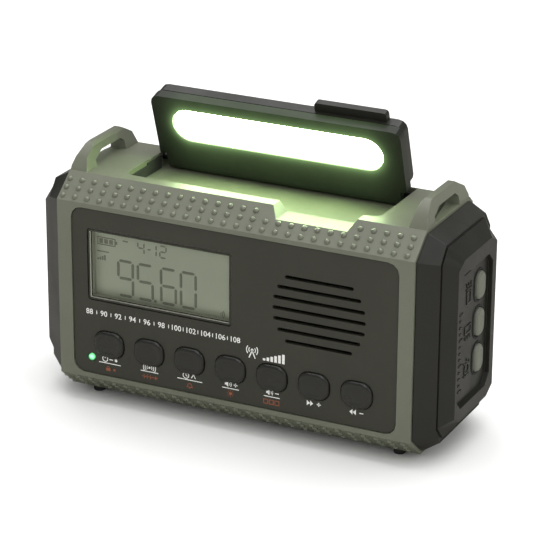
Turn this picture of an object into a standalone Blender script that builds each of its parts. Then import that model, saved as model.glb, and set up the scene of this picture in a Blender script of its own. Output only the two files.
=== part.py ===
"""Hand-crank emergency radio: olive shell, dark panel, solar lid with a reading lamp, torch, telescopic antenna.

All sizes are in millimetres in the design frame: X to the right, Y back from the front face, Z up from the
lower edge of the front panel. The datum empty carries that frame into the world, with the origin on the floor.
"""

import math

import bmesh
import bpy
from mathutils import Vector

MM = 0.001
GAP = 0.3  # air between pieces that touch

# Olive shell: one section in Y and Z, extruded between the two end caps
HALF_WIDTH = 69.5
FRONT_TOP = 65.5
FRONT_FOOT = -1.6
BEVEL_DEPTH = 9.7
BEVEL_HEIGHT = 8.0
DECK = FRONT_TOP + BEVEL_HEIGHT
BASE = FRONT_FOOT - BEVEL_HEIGHT
SEAM = 48.0  # back edge of the deck, where the rear cover starts
BACK = SEAM + BEVEL_DEPTH
WALL = 2.2
CEILING = 65.3  # underside of the deck
FLOOR = -11.8  # the feet stand here

# Lid recess, finger notch and strap lugs
RECESS_HALF = 49.75
RECESS_FRONT = 14.6
RECESS_FLOOR = 67.5
NOTCH_FLOOR = 70.0
LUG_INSIDE = 62.7

# Front panel and what shows in it
PANEL_HALF = 63.7
PANEL_FOOT, PANEL_TOP = 0.4, 63.5
PANEL_FACE, PANEL_BACK = 0.5, 2.5
WINDOW = (-56.7, -0.8, 29.85, 55.2)
BUTTON_NAMES = ("power", "band", "time", "volume_up", "volume_down", "tune_up", "tune_down")
BUTTON_FIRST, BUTTON_PITCH, BUTTON_HEIGHT = -49.2, 16.35, 12.6
BUTTON_FACE = -0.8
BUTTON_TRAVEL = 1.0
LED_AT = (-56.7, 6.4)
SPEAKER_AT = (33.95, 39.5)
SLOT_PITCH = 4.0
SLOT_HALVES = (13.1, 16.0, 17.5, 17.8, 17.5, 15.9, 12.9)  # half lengths, top slot first

# End caps: three octagons, each (X, front Y, top Z, bottom Z, chamfer in Y, chamfer in Z)
CAP_BASE = (HALF_WIDTH + GAP, 1.0, DECK - 1.0, BASE + 1.0, BEVEL_DEPTH - 0.4, BEVEL_HEIGHT - 0.4)
CAP_COLLAR = (76.4, 6.35, 69.1, -4.2, 4.6, 5.9)
CAP_PLATE = (81.1, 11.3, 62.75, 2.6, 5.3, 2.8)
CAP_GROOVE = 1.0
CAP_RIM = 2.8
SIDE_BUTTONS = (47.2, 33.4, 19.7)
SIDE_BUTTON_Y = 34.4
TORCH_AT = (BACK / 2, 32.7)

# Lid: shapes are given as it lies closed, about its hinge axis
HINGE_Y, HINGE_Z = 44.62, 71.3
LID_OPEN = 72.08  # degrees from closed to the rest pose
LID_REACH = 29.42
LID_HALF = 49.0
LAMP_FACE, SOLAR_FACE = -3.5, 4.7
LAMP_AT = -18.07

# Hand crank and its gear train
MODULE = 0.6
CRANK_X, CRANK_Z = 34.0, 38.0
GEAR_GAP = 0.12  # extra centre distance at each mesh
DRIVE_TEETH, PINION_TEETH, IDLER_TEETH = 40, 12, 36
IDLER_X = CRANK_X - MODULE * (DRIVE_TEETH + PINION_TEETH) / 2 - GEAR_GAP
GENERATOR_X = IDLER_X - MODULE * (IDLER_TEETH + PINION_TEETH) / 2 - GEAR_GAP
ARM_FRONT, ARM_BACK = BACK + 0.9, BACK + 9.3
ARM_MIDDLE = (ARM_FRONT + ARM_BACK) / 2
ARM_LENGTH = 37.0
KNOB_RADIUS = 4.6

# Antenna in its rabbet on the upper back edge
ANTENNA_X, ANTENNA_Y, ANTENNA_Z = -60.0, 54.7, 66.8
TILT_X = -54.5
TUBES = ((3.0, 2.45), (2.15, 1.75), (1.45, 1.15), (0.85, 0.0))
TUBE_START, TUBE_END = -51.4, 49.0

# Back hatches as (low X, high X, low Z, high Z), screws, feet and solar cells
BATTERY_HATCH = (-60.0, -14.0, 3.5, 25.5)
PORT_FLAP = (14.0, 42.0, 3.1, 13.5)
USB_MOUTH = (17.3, 30.3, 5.7, 11.5)
SCREW_X, SCREW_Z = 64.0, (3.5, 56.5)
FEET_X, FEET_Y = 60.5, (12.4, 44.0)
SOLAR_HALF, SOLAR_FRONT, SOLAR_BACK = 43.5, -26.8, -4.4

DATUM = (0.0, -(ARM_MIDDLE + KNOB_RADIUS + BUTTON_FACE) / 2, -FLOOR)


def collection(name):
    made = bpy.data.collections.new(name)
    bpy.context.scene.collection.children.link(made)
    return made


for old in list(bpy.data.objects):
    bpy.data.objects.remove(old, do_unlink=True)
PARTS = collection("emergency_radio")
CUTTERS = collection("cutters")
CUTTERS.hide_render = True


# ---- materials: colour (linear), roughness, metallic ----
LOOKS = {
    "olive": ((0.135, 0.147, 0.108), 0.55, 0.0),
    "panel": ((0.035, 0.033, 0.028), 0.5, 0.0),
    "black": ((0.022, 0.022, 0.019), 0.5, 0.0),
    "key": ((0.019, 0.019, 0.018), 0.45, 0.0),
    "grey_key": ((0.17, 0.18, 0.14), 0.6, 0.0),
    "light_grey": ((0.3, 0.31, 0.27), 0.5, 0.0),
    "lcd": ((0.21, 0.22, 0.18), 0.3, 0.0),
    "clear": ((0.8, 0.82, 0.8), 0.1, 0.0),
    "lamp": ((0.9, 0.95, 0.86), 0.3, 0.0),
    "green_light": ((0.1, 0.8, 0.25), 0.2, 0.0),
    "rubber": ((0.012, 0.012, 0.012), 0.8, 0.0),
    "steel": ((0.5, 0.5, 0.49), 0.3, 1.0),
    "chrome": ((0.75, 0.75, 0.74), 0.12, 1.0),
    "brass": ((0.55, 0.4, 0.16), 0.3, 1.0),
    "circuit": ((0.02, 0.1, 0.04), 0.4, 0.0),
    "solar": ((0.006, 0.009, 0.025), 0.15, 0.0),
    "gear": ((0.6, 0.6, 0.55), 0.45, 0.0),
    "ferrite": ((0.03, 0.03, 0.032), 0.6, 0.0),
    "copper": ((0.5, 0.22, 0.1), 0.35, 1.0),
    "wrap": ((0.02, 0.06, 0.2), 0.4, 0.0),
    "cone": ((0.03, 0.028, 0.025), 0.85, 0.0),
}


def material(name):
    if name in bpy.data.materials:
        return bpy.data.materials[name]
    made = bpy.data.materials.new(name)
    made.use_nodes = True
    shader = made.node_tree.nodes["Principled BSDF"]
    colour, roughness, metallic = LOOKS[name]
    shader.inputs["Base Color"].default_value = (*colour, 1.0)
    shader.inputs["Roughness"].default_value = roughness
    shader.inputs["Metallic"].default_value = metallic
    made.diffuse_color = (*colour, 1.0)
    return made


# ---- placing and joining ----
def empty(name, at, parent=None, tilt=0.0):
    made = bpy.data.objects.new(name, None)
    made.location = Vector(at) * MM
    made.rotation_euler.x = math.radians(tilt)
    made.parent = parent
    PARTS.objects.link(made)
    return made


ROOT = empty("datum", DATUM)
LID = empty("lid_axis", (0, HINGE_Y, HINGE_Z), ROOT, -LID_OPEN)


def add(name, mesh, look, at=(0, 0, 0), turn=(0, 0, 0), parent=None):
    """An object in the parts, or in the cutters where it has no look."""
    made = bpy.data.objects.new(name, mesh)
    made.location = Vector(at) * MM
    made.rotation_euler = [math.radians(a) for a in turn]
    made.parent = parent or ROOT
    if look:
        mesh.materials.append(material(look))
        PARTS.objects.link(made)
    else:
        made.display_type = "WIRE"
        made.hide_render = True
        CUTTERS.objects.link(made)
    return made


def middle(axis, low, high, at):
    """The point halfway along axis, with at as the other two coordinates."""
    place = list(at)
    place.insert("XYZ".index(axis), (low + high) / 2)
    return place


def mesh_of(name, build):
    shape = bmesh.new()
    build(shape)
    bmesh.ops.recalc_face_normals(shape, faces=shape.faces)
    mesh = bpy.data.meshes.new(name)
    shape.to_mesh(mesh)
    shape.free()
    return mesh


def box(name, look, x, y, z, parent=None):
    """A block between the low and high values of each axis."""
    size = [(b - a) * MM for a, b in (x, y, z)]

    def build(shape):
        bmesh.ops.create_cube(shape, size=1.0)
        bmesh.ops.scale(shape, vec=size, verts=shape.verts)

    centre = [(a + b) / 2 for a, b in (x, y, z)]
    return add(name, mesh_of(name, build), look, centre, parent=parent)


def rod(name, look, axis, low, high, radius, at, sides=20, end_radius=None, parent=None):
    """A cylinder, or a cone where end_radius is given, from low to high along axis."""
    end = radius if end_radius is None else end_radius

    def build(shape):
        bmesh.ops.create_cone(shape, cap_ends=True, segments=sides, radius1=radius * MM,
                              radius2=end * MM, depth=(high - low) * MM)

    turn = {"X": (0, 90, 0), "Y": (-90, 0, 0), "Z": (0, 0, 0)}[axis]
    place = middle(axis, low, high, at)
    return add(name, mesh_of(name, build), look, place, turn, parent)


def plate(name, look, axis, low, high, loops, at=(0, 0), parent=None):
    """A flat piece: outlines square to axis, the first outside and the rest holes, from low to high."""
    curve = bpy.data.curves.new(name, "CURVE")
    curve.dimensions = "2D"
    curve.fill_mode = "BOTH"
    curve.extrude = (high - low) / 2 * MM
    for loop in loops:
        spline = curve.splines.new("POLY")
        spline.points.add(len(loop) - 1)
        for point, (u, v) in zip(spline.points, loop):
            point.co = (u * MM, v * MM, 0, 1)
        spline.use_cyclic_u = True
    holder = bpy.data.objects.new(name, curve)
    CUTTERS.objects.link(holder)
    graph = bpy.context.evaluated_depsgraph_get()
    flat = bpy.data.meshes.new_from_object(holder.evaluated_get(graph))
    bpy.data.objects.remove(holder)
    shape = bmesh.new()
    shape.from_mesh(flat)
    bmesh.ops.remove_doubles(shape, verts=shape.verts, dist=1e-6)
    bmesh.ops.recalc_face_normals(shape, faces=shape.faces)
    shape.to_mesh(flat)
    shape.free()
    turn = {"X": (90, 0, 90), "Y": (90, 0, 0), "Z": (0, 0, 0)}[axis]
    return add(name, flat, look, middle(axis, low, high, at), turn, parent)


def turned(name, look, axis, profile, at, sides=32, parent=None):
    """A (radius, height) profile turned about axis, closed or ending twice on the axis."""
    mesh = bpy.data.meshes.new(name)
    pairs = list(zip(profile, profile[1:] + profile[:1]))
    if sum(r0 * h1 - r1 * h0 for (r0, h0), (r1, h1) in pairs) > 0:
        profile = profile[::-1]
    count = len(profile)
    edges = [(i, (i + 1) % count) for i in range(count)]
    if profile[0][0] == profile[-1][0] == 0:
        edges.pop()
    mesh.from_pydata([(r * MM, 0, h * MM) for r, h in profile], edges, [])
    rotation = {"X": (0, 90, 0), "Y": (-90, 0, 0), "Z": (0, 0, 0)}[axis]
    made = add(name, mesh, look, middle(axis, 0, 0, at), rotation, parent)
    screw = made.modifiers.new("turn", "SCREW")
    screw.axis = "Z"
    screw.steps = sides
    screw.render_steps = sides
    screw.use_merge_vertices = True
    screw.merge_threshold = 0.00001
    return made


def loft(name, look, rings, mirrored=False):
    """A closed body through rings of equally many (x, y, z) points, with both end rings filled."""
    side = -1 if mirrored else 1

    def build(shape):
        rows = [[shape.verts.new((side * x * MM, y * MM, z * MM)) for x, y, z in ring] for ring in rings]
        for low, high in zip(rows, rows[1:]):
            for i in range(len(low)):
                j = (i + 1) % len(low)
                shape.faces.new((low[i], low[j], high[j], high[i]))
        shape.faces.new(rows[0])
        shape.faces.new(rows[-1])

    return add(name, mesh_of(name, build), look)


def boolean(target, operation, others):
    for other in others:
        step = target.modifiers.new(other.name, "BOOLEAN")
        step.operation = operation
        step.solver = "EXACT"
        step.object = other
    return target


def cut(target, *others):
    return boolean(target, "DIFFERENCE", others)


def join(target, *others):
    return boolean(target, "UNION", others)


# ---- outlines ----
def circle(radius, sides=20, u=0.0, v=0.0):
    turns = [2 * math.pi * i / sides for i in range(sides)]
    return [(u + radius * math.cos(t), v + radius * math.sin(t)) for t in turns]


def rounded(u0, u1, v0, v1, radius, steps=3):
    """A rectangle with round corners; with radius half its height it is a racetrack."""
    corners = ((u1, v1, 0), (u0, v1, 90), (u0, v0, 180), (u1, v0, 270))
    points = []
    for u, v, start in corners:
        cu = u - radius if u == u1 else u + radius
        cv = v - radius if v == v1 else v + radius
        for i in range(steps + 1):
            angle = math.radians(start + 90 * i / steps)
            points.append((cu + radius * math.cos(angle), cv + radius * math.sin(angle)))
    return points


def octagon(section):
    """The eight (y, z) corners of an end-cap section, which is symmetric front to back."""
    _, front, top, foot, deep, high = section
    back = BACK - front
    return [
        (front, foot + high), (front, top - high), (front + deep, top), (back - deep, top),
        (back, top - high), (back, foot + high), (back - deep, foot), (front + deep, foot),
    ]


def ring(section, x=None, inset=0.0):
    """A section's corners in space, drawn in by inset on every side."""
    own_x, front, top, foot, deep, high = section
    smaller = (own_x, front + inset, top - inset, foot + inset, deep, high)
    return [(own_x if x is None else x, y, z) for y, z in octagon(smaller)]


def gear(teeth, radii, skip=0.0, backlash=0.05):
    """Tooth outline with involute flanks through the given radii; skip turns it by that share of a pitch."""
    pitch = MODULE * teeth / 2
    base = pitch * math.cos(math.radians(20))
    involute = math.tan(math.radians(20)) - math.radians(20)
    points = []
    for tooth in range(teeth):
        centre = 2 * math.pi * (tooth + skip) / teeth
        flank = []
        for radius in radii:
            pressure = math.acos(min(1.0, base / radius))
            half = math.pi / (2 * teeth) - backlash / pitch + involute - (math.tan(pressure) - pressure)
            flank.append((radius, half))
        for radius, half in [(r, -h) for r, h in flank] + flank[::-1]:
            points.append((radius * math.cos(centre + half), radius * math.sin(centre + half)))
    return points


def gear_radii(teeth):
    """Root, flank and tip radii: a small pinion keeps a point at its base circle."""
    pitch = MODULE * teeth / 2
    base = pitch * math.cos(math.radians(20))
    root, tip = pitch - 1.2 * MODULE, pitch + 0.92 * MODULE
    return (root, base, pitch, tip) if base > root + 0.2 else (root, pitch, tip)


# ---- shell ----
def main_housing():
    section = [(0, FRONT_FOOT), (0, FRONT_TOP), (BEVEL_DEPTH, DECK), (SEAM, DECK), (SEAM, BASE),
               (BEVEL_DEPTH, BASE)]
    shell = plate("main_housing", "olive", "X", -HALF_WIDTH, HALF_WIDTH, [section])
    for side in (-1, 1):
        join(shell, strap_lug(side))
    inside = [(4.2, 0.6), (11.0, BASE + WALL), (60, BASE + WALL), (60, CEILING), (10.2, CEILING), (4.2, 62.5)]
    cut(shell, plate("cavity", None, "X", -75, 75, [inside]))
    corners = rounded(-RECESS_HALF, RECESS_HALF, RECESS_FRONT, 60, 3.5)
    cut(shell, plate("lid_recess", None, "Z", RECESS_FLOOR, 90, [corners]))
    notch = [(14.9, NOTCH_FLOOR), (41.9, NOTCH_FLOOR), (44.5, DECK + 1), (11.0, DECK + 1)]
    cut(shell, plate("finger_notch", None, "Y", -2, RECESS_FRONT + 4, [notch]))
    seat = rounded(-PANEL_HALF - GAP, PANEL_HALF + GAP, PANEL_FOOT - GAP, PANEL_TOP + GAP, 4.3)
    cut(shell, plate("panel_seat", None, "Y", -3, PANEL_BACK + GAP, [seat]))
    frame = rounded(-PANEL_HALF + 2.2, PANEL_HALF - 2.2, PANEL_FOOT + 2.2, PANEL_TOP - 2.2, 3)
    cut(shell, plate("panel_opening", None, "Y", 1, 8, [frame]))
    for side in (-1, 1):
        pin_at = (HINGE_Y, HINGE_Z)
        start, end = sorted((side * (RECESS_HALF - 2), side * (RECESS_HALF + 4.5)))
        cut(shell, rod("pin_hole", None, "X", start, end, 1.6, pin_at, 12))
        for y in FEET_Y:
            cut(shell, rod("foot_pocket", None, "Z", BASE - 2, BASE + 1.0, 2.5, (side * FEET_X, y), 16))
    return shell


def strap_lug(side):
    """An arch over the deck's end that leans inwards and thins towards its crest."""
    outside = [(9.8, DECK - 3), (9.8, DECK), (12.3, 77.9), (17.4, 81.4), (20.0, 82), (38.6, 82), (45.6, 78.4),
               (47.9, DECK), (47.9, DECK - 3)]
    foot = DECK - 0.5
    hole = [(17.5, foot), (17.5, 76.0), (23.0, 78.3), (36.8, 78.3), (39.0, 76.8), (39.0, foot)]
    inner, outer = sorted((side * LUG_INSIDE, side * (HALF_WIDTH - 0.15)))
    lug = plate("strap_lug", None, "X", inner, outer, [outside])
    lean = [(LUG_INSIDE - 0.2, foot), (63.8, 77.9), (64.1, 81), (65.0, 82.1), (65.0, 86), (55, 86), (55, foot)]
    away = [(HALF_WIDTH + 0.2, DECK + 0.2), (68.5, 77.9), (67.3, 82.1), (67.3, 86), (75, 86), (75, DECK + 0.2)]
    for name, side_cut in (("lug_lean", lean), ("lug_away", away)):
        cut(lug, plate(name, None, "Y", 0, 60, [[(side * x, z) for x, z in side_cut]]))
    return cut(lug, plate("lug_hole", None, "X", inner - 5, outer + 5, [hole]))


def rear_cover():
    section = [(SEAM + GAP, DECK), (BACK, FRONT_TOP), (BACK, FRONT_FOOT), (SEAM + GAP, BASE)]
    cover = plate("rear_cover", "olive", "X", -HALF_WIDTH, HALF_WIDTH, [section])
    wall = BACK - WALL
    inside = [(45, BASE + WALL + 0.2), (SEAM + 0.4, BASE + WALL + 0.2), (wall, FRONT_FOOT + 1.4), (wall, 60.5),
              (45, 60.5)]
    cut(cover, plate("rear_cavity", None, "X", -75, 75, [inside]))
    cut(cover, box("antenna_rabbet", None, (-65.2, 75.0), (51.3, 70), (63.0, 90)))
    cut(cover, rod("swivel_bore", None, "Y", 49.0, 53, 1.9, (ANTENNA_X, ANTENNA_Z), 16))
    cut(cover, rod("crank_bore", None, "Y", 50, 70, 3.5, (CRANK_X, CRANK_Z), 24))
    seat = rounded(*BATTERY_HATCH, 2)
    cut(cover, plate("hatch_seat", None, "Y", BACK - 1.7, 70, [seat]))
    u0, u1, v0, v1 = BATTERY_HATCH
    cut(cover, plate("hatch_opening", None, "Y", 50, 70, [rounded(u0 + 2, u1 - 2, v0 + 2, v1 - 2, 1)]))
    cut(cover, plate("port_seat", None, "Y", BACK - 1.7, 70, [rounded(*PORT_FLAP, 1.2)]))
    u0, u1, v0, v1 = USB_MOUTH
    cut(cover, box("port_opening", None, (u0 - 0.8, u1 + 0.8), (50, 70), (v0 - 0.8, v1 + 0.8)))
    for x in (-SCREW_X, SCREW_X):
        for z in SCREW_Z:
            cut(cover, rod("screw_recess", None, "Y", BACK - 1.4, 70, 2.9, (x, z), 20))
    return cover


def end_cap(name, side):
    """A two-tier cup: base rim, collar, groove, tapered block and flat plate, hollow from inside."""
    step = CAP_COLLAR[0]
    between = [a + (b - a) * 0.12 for a, b in zip(CAP_COLLAR, CAP_PLATE)]
    rings = [
        ring(CAP_PLATE),
        ring(between, step + 0.2, CAP_GROOVE * 0.5),
        ring(CAP_COLLAR, step - 0.5, CAP_GROOVE + 0.3),
        ring(CAP_COLLAR, step - 0.5, CAP_GROOVE * 0.6),
        ring(CAP_COLLAR, step),
        ring(CAP_BASE),
        ring(CAP_BASE, inset=CAP_RIM),
        ring(CAP_COLLAR, step - 2.5, WALL + 1.2),
        ring(CAP_PLATE, 77.2, 0.4),
    ]
    return loft(name, "black", rings, mirrored=side < 0)


def right_end_cap():
    cap = end_cap("right_end_cap", 1)
    cut(cap, rod("antenna_notch", None, "X", 65, 90, 2.95, (ANTENNA_Y, ANTENNA_Z), 24))
    y0, y1, z0, z1 = 13.0, 42.9, 7.3, 57.2
    corner = 3.6
    field = [(y0, z0 + corner), (y0 + corner, z0), (y1 - corner, z0), (y1, z0 + corner),
             (y1, z1 - corner), (y1 - corner, z1), (y0 + corner, z1), (y0, z1 - corner)]
    cut(cap, plate("side_field", None, "X", 79.4, 85, [field]))
    for z in SIDE_BUTTONS:
        cut(cap, plate("side_hole", None, "X", 70, 85, [side_button_outline(GAP)], (SIDE_BUTTON_Y, z)))
    return cap


def left_end_cap():
    cap = end_cap("left_end_cap", -1)
    cut(cap, rod("torch_seat", None, "X", -85, -79.2, 14.6, TORCH_AT, 36))
    cut(cap, rod("torch_hole", None, "X", -85, -70, 12.6, TORCH_AT, 36))
    return cap


# ---- front ----
def front_panel():
    holes = [rounded(WINDOW[0] - 1.1, WINDOW[1] + 1.1, WINDOW[2] - 1.1, WINDOW[3] + 1.1, 1.2, 2)]
    holes += [button_outline(0.25, button_x(i), BUTTON_HEIGHT) for i in range(len(BUTTON_NAMES))]
    holes.append(circle(1.7, 14, *LED_AT))
    x, z = SPEAKER_AT
    for row, half in enumerate(SLOT_HALVES):
        height = z + (3 - row) * SLOT_PITCH
        holes.append(rounded(x - half, x + half, height - 0.7, height + 0.7, 0.7, 2))
    outline = rounded(-PANEL_HALF, PANEL_HALF, PANEL_FOOT, PANEL_TOP, 4)
    return plate("front_panel", "panel", "Y", PANEL_FACE, PANEL_BACK, [outline] + holes)


def button_x(index):
    return BUTTON_FIRST + BUTTON_PITCH * index


def button_outline(grow=0.0, u=0.0, v=0.0):
    return rounded(u - 6 - grow, u + 6 + grow, v - 5 - grow, v + 5 + grow, 4.2 + grow, 4)


def front_buttons():
    """Seven keys, each with a flange that holds it behind the panel."""
    for index, name in enumerate(BUTTON_NAMES):
        at = (button_x(index), BUTTON_HEIGHT)
        key = plate("button_" + name, "key", "Y", BUTTON_FACE, 3.6, [button_outline()], at)
        join(key, plate("flange", None, "Y", PANEL_BACK + GAP, 3.8, [button_outline(0.9)], at))


def display():
    x0, x1, z0, z1 = WINDOW
    opening = [(x0, z0), (x1, z0), (x1, z1), (x0, z1)]
    sleeve = rounded(x0 - 0.8, x1 + 0.8, z0 - 0.8, z1 + 0.8, 0.9, 2)
    frame = plate("lcd_frame", "light_grey", "Y", 0.7, 3.4, [sleeve, opening])
    flange = [(x0 - 2.6, z0 - 2.6), (x1 + 2.6, z0 - 2.6), (x1 + 2.6, z1 + 2.6), (x0 - 2.6, z1 + 2.6)]
    join(frame, plate("lcd_flange", None, "Y", PANEL_BACK + GAP, 4.4, [flange, opening]))
    box("lcd_lens", "clear", (x0 + GAP, x1 - GAP), (1.0, 1.9), (z0 + GAP, z1 - GAP))
    box("lcd_module", "lcd", (x0 - 2.4, x1 + 2.4), (4.7, 7.7), (z0 - 2.4, z1 + 2.4))


def speaker():
    at = SPEAKER_AT
    turned("speaker_basket", "steel", "Y",
           [(19.6, 3.1), (19.6, 5.0), (17.0, 5.0), (10.0, 13.6), (10.0, 14.6), (3.0, 14.6), (3.0, 13.4), (9.0, 13.4),
            (16.2, 4.4), (16.2, 3.1)], at, 28)
    turned("speaker_cone", "cone", "Y",
           [(15.8, 3.4), (15.8, 4.0), (5.0, 11.4), (0.4, 11.4), (0.4, 10.6), (4.6, 10.6)], at, 28)
    rod("speaker_magnet", "ferrite", "Y", 14.9, 20.5, 11.0, at, 24)


def side_button_outline(grow=0.0):
    return rounded(-3.6 - grow, 3.6 + grow, -5.1 - grow, 5.1 + grow, 3.3 + grow, 4)


def side_buttons():
    for number, z in enumerate(SIDE_BUTTONS, 1):
        at = (SIDE_BUTTON_Y, z)
        key = plate(f"side_button_{number}", "grey_key", "X", 76.0, 80.9, [side_button_outline()], at)
        join(key, plate("side_flange", None, "X", 75.9, 76.9, [side_button_outline(0.9)], at))
    box("side_board", "circuit", (72.4, 73.6), (16, 42), (8, 58))


def torch():
    rod("torch_lens", "clear", "X", -80.7, -79.5, 14.2, TORCH_AT, 36)
    cup = [(12.3, -78.9), (12.3, -77.9), (10.6, -73.5), (7.0, -69.0), (3.2, -67.4), (2.4, -67.4), (2.4, -68.4),
           (6.2, -69.8), (9.6, -74.0), (11.2, -78.9)]
    turned("torch_reflector", "chrome", "X", cup, TORCH_AT, 32)
    rod("torch_board", "circuit", "X", -66.9, -65.7, 9.0, TORCH_AT, 24)


# ---- lid ----
def lid():
    outline = rounded(-LID_HALF, LID_HALF, -LID_REACH, 2.9, 3.2)
    bezel = plate("lid_bezel", "black", "Z", LAMP_FACE, 0.45, [outline], parent=LID)
    hollow = rounded(-LID_HALF + 2, LID_HALF - 2, -LID_REACH + 2, -4.5, 2)
    inside = plate("lid_hollow", None, "Z", -1.8, 5, [hollow], parent=LID)
    join(bezel, rod("hinge_barrel", None, "X", -46.5, 46.5, 2.9, (0, 0), 20, parent=LID))
    corner = plate("heel_relief", None, "X", -60, 60, [heel_outline()], parent=LID)
    cut(bezel, inside, corner)
    for side in (-1, 1):
        start, end = sorted((side * 41, side * 50))
        cut(bezel, rod("barrel_bore", None, "X", start, end, 1.55, (0, 0), 12, parent=LID))
        start, end = sorted((side * 46.5, side * 52))
        cut(bezel, box("knuckle_end", None, (start, end), (-4.2, 6), (-6, 6), LID))
        start, end = sorted((side * 42.5, side * 53.5))
        name = "hinge_pin_right" if side > 0 else "hinge_pin_left"
        rod(name, "steel", "X", start, end, 1.25, (HINGE_Y, HINGE_Z), 12)
    lamp = lamp_outline(GAP)
    cut(bezel, plate("lamp_opening", None, "Z", -8, 0, [lamp], (0, LAMP_AT), LID))
    plate("lamp_diffuser", "lamp", "Z", LAMP_FACE + 0.2, -1.9, [lamp_outline()], (0, LAMP_AT), LID)
    box("lamp_board", "circuit", (-43, 43), (LAMP_AT - 8, LAMP_AT + 8), (-1.2, -0.1), LID)
    lid_shell()


def heel_outline():
    """Everything behind a round heel about the hinge axis, as a C-shaped cutter in Y and Z."""
    radius = -LAMP_FACE
    heel = [(radius * math.cos(a), radius * math.sin(a)) for a in half_turn(-90, 90)]
    return [(0.0, -9.0), (9.0, -9.0), (9.0, 9.0), (0.0, 9.0)] + heel[::-1]


def lamp_outline(grow=0.0):
    return rounded(-41.3 - grow, 41.3 + grow, -6.55 - grow, 6.55 + grow, 6.55 + grow, 8)


def lid_shell():
    """The solar side, with the finger tab on its free edge and a shallow seat for the cells."""
    outline = rounded(-LID_HALF + 0.6, LID_HALF - 0.6, -LID_REACH, -3.3, 3.2)
    shell = plate("lid_shell", "black", "Z", 0.75, SOLAR_FACE, [outline], parent=LID)
    tab = rounded(14.2, 41.9, -LID_REACH - 3.4, -LID_REACH + 4, 1.2)
    join(shell, plate("finger_tab", None, "Z", 2.1, SOLAR_FACE - 0.01, [tab], parent=LID))
    hollow = rounded(-LID_HALF + 2.6, LID_HALF - 2.6, -LID_REACH + 2, -5.0, 2)
    cut(shell, plate("shell_hollow", None, "Z", -3, 2.2, [hollow], parent=LID))
    seat = rounded(-SOLAR_HALF - GAP, SOLAR_HALF + GAP, SOLAR_FRONT - GAP, SOLAR_BACK + GAP, 1.5)
    cut(shell, plate("solar_seat", None, "Z", SOLAR_FACE - 1.3, 9, [seat], parent=LID))
    cells = rounded(-SOLAR_HALF, SOLAR_HALF, SOLAR_FRONT, SOLAR_BACK, 1.2)
    plate("solar_panel", "solar", "Z", SOLAR_FACE - 1.0, SOLAR_FACE - 0.1, [cells], parent=LID)


# ---- crank, gears and generator ----
def crank():
    pivot = CRANK_X - ARM_LENGTH
    small, big = 8.0, 9.0
    ends = [(pivot + small * math.cos(a), small * math.sin(a)) for a in half_turn(90, 270)]
    ends += [(CRANK_X + big * math.cos(a), big * math.sin(a)) for a in half_turn(-90, 90)]
    slot = rounded(pivot - 5.0, CRANK_X - 11.0, -5.2, 5.2, 1.0)
    arm = plate("crank_arm", "black", "Y", ARM_FRONT, ARM_BACK, [ends, slot], (0, CRANK_Z))
    cut(arm, rod("hub_bore", None, "Y", 50, BACK + 6.6, 3.3, (CRANK_X, CRANK_Z), 20))
    cut(arm, rod("pivot_bore", None, "Z", CRANK_Z - 12, CRANK_Z + 12, 1.6, (pivot, ARM_MIDDLE), 12))
    rod("crank_axle", "steel", "Y", 43.2, BACK + 6.2, 3.0, (CRANK_X, CRANK_Z), 20)
    shaft = rod("knob_shaft", "steel", "Z", CRANK_Z - 4.7, CRANK_Z + 4.7, 3.4, (pivot, ARM_MIDDLE), 16)
    pin = rod("cross_pin", None, "Z", CRANK_Z - 7.4, CRANK_Z + 7.4, 1.3, (pivot, ARM_MIDDLE), 12)
    spindle = rod("spindle", None, "X", pivot + 1, pivot + 20, 1.6, (ARM_MIDDLE, CRANK_Z), 12)
    join(shaft, pin, spindle)
    turned("crank_knob", "black", "X",
           [(0, pivot + 20.8), (1.9, pivot + 20.8), (1.9, pivot + 4.2), (4.1, pivot + 4.2),
            (KNOB_RADIUS, pivot + 5.0), (KNOB_RADIUS, pivot + 22.2), (3.8, pivot + 23.4), (0, pivot + 23.4)],
           (ARM_MIDDLE, CRANK_Z), 24)


def half_turn(start, end, steps=10):
    return [math.radians(start + (end - start) * i / steps) for i in range(steps + 1)]


def gear_train():
    z = CRANK_Z
    bore = circle(3.3, 20)
    drive = gear(DRIVE_TEETH, gear_radii(DRIVE_TEETH))
    plate("drive_gear", "gear", "Y", 44.2, 47.2, [drive, bore], (CRANK_X, z))
    pinion = gear(PINION_TEETH, gear_radii(PINION_TEETH), 0.5)
    wheel = gear(IDLER_TEETH, gear_radii(IDLER_TEETH))
    idler = plate("idler_gear", "gear", "Y", 39.8, 42.4, [wheel, circle(1.6, 12)], (IDLER_X, z))
    join(idler, plate("idler_pinion", None, "Y", 42.2, 47.6, [pinion, circle(1.6, 12)], (IDLER_X, z)))
    rotor = plate("generator_pinion", "brass", "Y", 39.5, 42.7, [pinion], (GENERATOR_X, z))
    join(rotor, rod("generator_shaft", None, "Y", 34.0, 41.0, 0.9, (GENERATOR_X, z), 12))
    dynamo = rod("generator", "steel", "Y", 18.0, 38.8, 12.0, (GENERATOR_X, z), 28)
    cut(dynamo, rod("generator_bore", None, "Y", 33.0, 45.0, 1.2, (GENERATOR_X, z), 12))
    corners = rounded(-9, 47, z - 13, z + 13, 4)
    carrier = plate("gearbox_plate", "steel", "Y", 48.9, 50.4, [corners, circle(3.4, 20, CRANK_X, z)])
    join(carrier, rod("idler_pin", None, "Y", 40.2, 49.5, 1.3, (IDLER_X, z), 12))


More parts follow.
